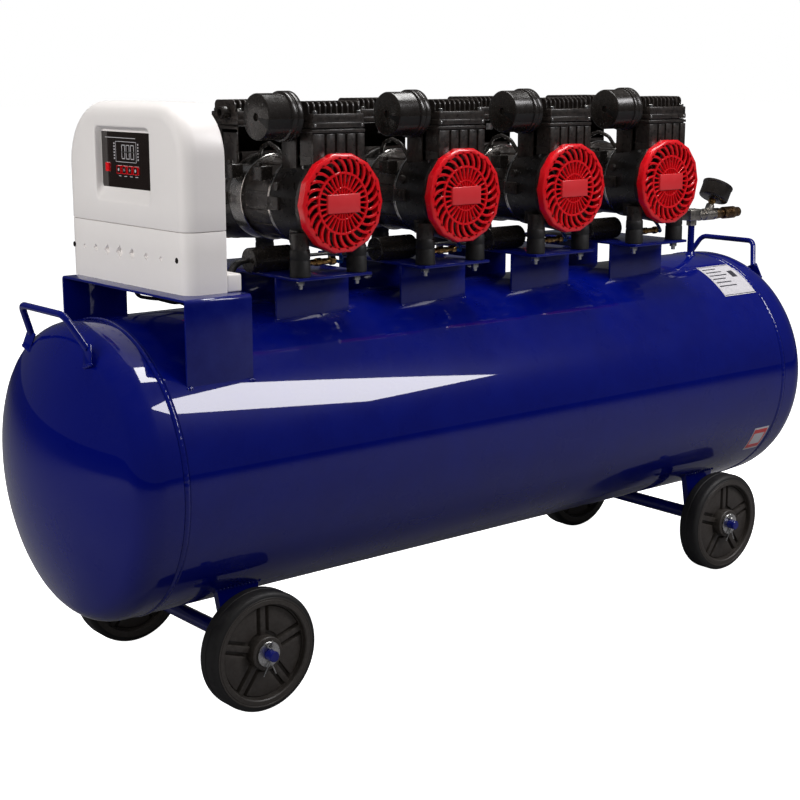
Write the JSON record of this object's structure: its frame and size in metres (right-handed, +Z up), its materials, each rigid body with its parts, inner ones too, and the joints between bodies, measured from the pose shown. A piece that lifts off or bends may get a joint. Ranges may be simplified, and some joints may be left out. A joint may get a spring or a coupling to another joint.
{
  "type": "air compressor",
  "caption": "Oil-free workshop air compressor: a row of twin-head pumps with red fan guards on a long horizontal blue tank with wheels, a control box and a gauge outlet.",
  "frame": {"origin": "on the ground under the middle of the tank", "axes": "+X along the tank towards the air outlet, +Z up, -Y towards the front fan guards"},
  "size_m": [1.7002, 0.504, 0.9785],
  "materials": {
    "tank_paint": "gloss",
    "black_casting": "satin",
    "black_plastic": "satin",
    "gloss_black": "gloss",
    "red_plastic": "satin gloss",
    "box_plastic": "satin",
    "wheel_moulding": "satin",
    "zinc_steel": "satin",
    "nickel_block": "satin",
    "brass": "satin",
    "rubber": "matt",
    "cable_sheath": "satin",
    "hose_braid": "satin",
    "circuit_board": "satin",
    "bare_aluminium": "satin"
  },
  "bodies": {
    "tank": {"axle_washers": "zinc_steel", "axles": "tank_paint", "cap_screws": "zinc_steel", "control_board": "circuit_board", "control_box_base": "box_plastic", "control_box_cover": "box_plastic", "control_bracket": "tank_paint", "control_cables": "cable_sheath", "cotter_pins": "zinc_steel", "crankcases_1": "black_casting", "crankcases_2": "black_casting", "crankcases_3": "black_casting", "crankcases_4": "black_casting", "cylinder_heads": "black_casting", "discharge_hoses": "hose_braid", "display_panel": "gloss_black", "drain_valve": "brass", "fan_grills_1": "red_plastic", "fan_grills_2": "red_plastic", "fan_grills_3": "red_plastic", "fan_grills_4": "red_plastic", "foot_bolts": "zinc_steel", "gauge_body": "black_plastic", "intake_filters": "black_plastic", "leg_frame_left": "tank_paint", "leg_frame_right": "tank_paint", "lift_handle_left": "tank_paint", "lift_handle_right": "tank_paint", "motor_1": "black_casting", "motor_2": "black_casting", "motor_3": "black_casting", "motor_4": "black_casting", "outlet_block": "nickel_block", "outlet_coupler": "brass", "pistons": "bare_aluminium", "pump_feet": "rubber", "pump_saddles": "tank_paint", "riser_pipe": "tank_paint", "run_capacitors": "gloss_black", "safety_valve": "brass", "tank_head_left": "tank_paint", "tank_head_right": "tank_paint", "tank_shell": "tank_paint"},
    "wheel_front_left": {"wheel_front_left": "wheel_moulding"},
    "wheel_rear_left": {"wheel_rear_left": "wheel_moulding"},
    "wheel_front_right": {"wheel_front_right": "wheel_moulding"},
    "wheel_rear_right": {"wheel_rear_right": "wheel_moulding"},
    "rotor_1": {"rotor_1": "bare_aluminium"},
    "rotor_2": {"rotor_2": "bare_aluminium"},
    "rotor_3": {"rotor_3": "bare_aluminium"},
    "rotor_4": {"rotor_4": "bare_aluminium"},
    "power_button": {"power_button": "red_plastic"},
    "key_mode": {"key_mode": "red_plastic"},
    "key_up": {"key_up": "red_plastic"},
    "key_down": {"key_down": "red_plastic"},
    "key_set": {"key_set": "red_plastic"},
    "needle": {"gauge_needle": "zinc_steel"},
    "sleeve": {"coupler_sleeve": "brass"},
    "safety_pull": {"safety_pull": "zinc_steel"},
    "drain_tap": {"drain_tap": "brass"}
  },
  "joints": [
    {"name": "wheel_front_left_roll", "type": "hinge", "parent": "tank", "child": "wheel_front_left", "pos_m": [-0.574, -0.2055, 0.1], "axis": [0, 1, 0], "continuous": true},
    {"name": "wheel_rear_left_roll", "type": "hinge", "parent": "tank", "child": "wheel_rear_left", "pos_m": [-0.574, 0.2055, 0.1], "axis": [0, 1, 0], "continuous": true},
    {"name": "wheel_front_right_roll", "type": "hinge", "parent": "tank", "child": "wheel_front_right", "pos_m": [0.574, -0.2055, 0.1], "axis": [0, 1, 0], "continuous": true},
    {"name": "wheel_rear_right_roll", "type": "hinge", "parent": "tank", "child": "wheel_rear_right", "pos_m": [0.574, 0.2055, 0.1], "axis": [0, 1, 0], "continuous": true},
    {"name": "rotor_1_spin", "type": "hinge", "parent": "tank", "child": "rotor_1", "pos_m": [-0.3635, 0, 0.7991], "axis": [0, 1, 0], "continuous": true},
    {"name": "rotor_2_spin", "type": "hinge", "parent": "tank", "child": "rotor_2", "pos_m": [-0.0971, 0, 0.7991], "axis": [0, 1, 0], "continuous": true},
    {"name": "rotor_3_spin", "type": "hinge", "parent": "tank", "child": "rotor_3", "pos_m": [0.1693, 0, 0.7991], "axis": [0, 1, 0], "continuous": true},
    {"name": "rotor_4_spin", "type": "hinge", "parent": "tank", "child": "rotor_4", "pos_m": [0.4357, 0, 0.7991], "axis": [0, 1, 0], "continuous": true},
    {"name": "power_button_press", "type": "slide", "parent": "tank", "child": "power_button", "axis": [1, 0, 0], "range_m": [0, 0.001], "stiffness_N_per_m": 300},
    {"name": "key_mode_press", "type": "slide", "parent": "tank", "child": "key_mode", "axis": [1, 0, 0], "range_m": [0, 0.001], "stiffness_N_per_m": 300},
    {"name": "key_up_press", "type": "slide", "parent": "tank", "child": "key_up", "axis": [1, 0, 0], "range_m": [0, 0.001], "stiffness_N_per_m": 300},
    {"name": "key_down_press", "type": "slide", "parent": "tank", "child": "key_down", "axis": [1, 0, 0], "range_m": [0, 0.001], "stiffness_N_per_m": 300},
    {"name": "key_set_press", "type": "slide", "parent": "tank", "child": "key_set", "axis": [1, 0, 0], "range_m": [0, 0.001], "stiffness_N_per_m": 300},
    {"name": "needle_sweep", "type": "hinge", "parent": "tank", "child": "needle", "pos_m": [0.76564, -0.012, 0.76519], "axis": [-0.4787, 0, -0.878], "range_deg": [0, 270], "stiffness_Nm_per_rad": 0.001},
    {"name": "sleeve_release", "type": "slide", "parent": "tank", "child": "sleeve", "axis": [-1, 0, 0], "range_m": [0, 0.004], "stiffness_N_per_m": 600},
    {"name": "safety_pull_lift", "type": "slide", "parent": "tank", "child": "safety_pull", "axis": [0, 1, 0], "range_m": [0, 0.003], "stiffness_N_per_m": 600},
    {"name": "drain_tap_turn", "type": "hinge", "parent": "tank", "child": "drain_tap", "pos_m": [-0.45, -0.0225, 0.121], "axis": [0, -1, 0], "range_deg": [0, 90]}
  ]
}
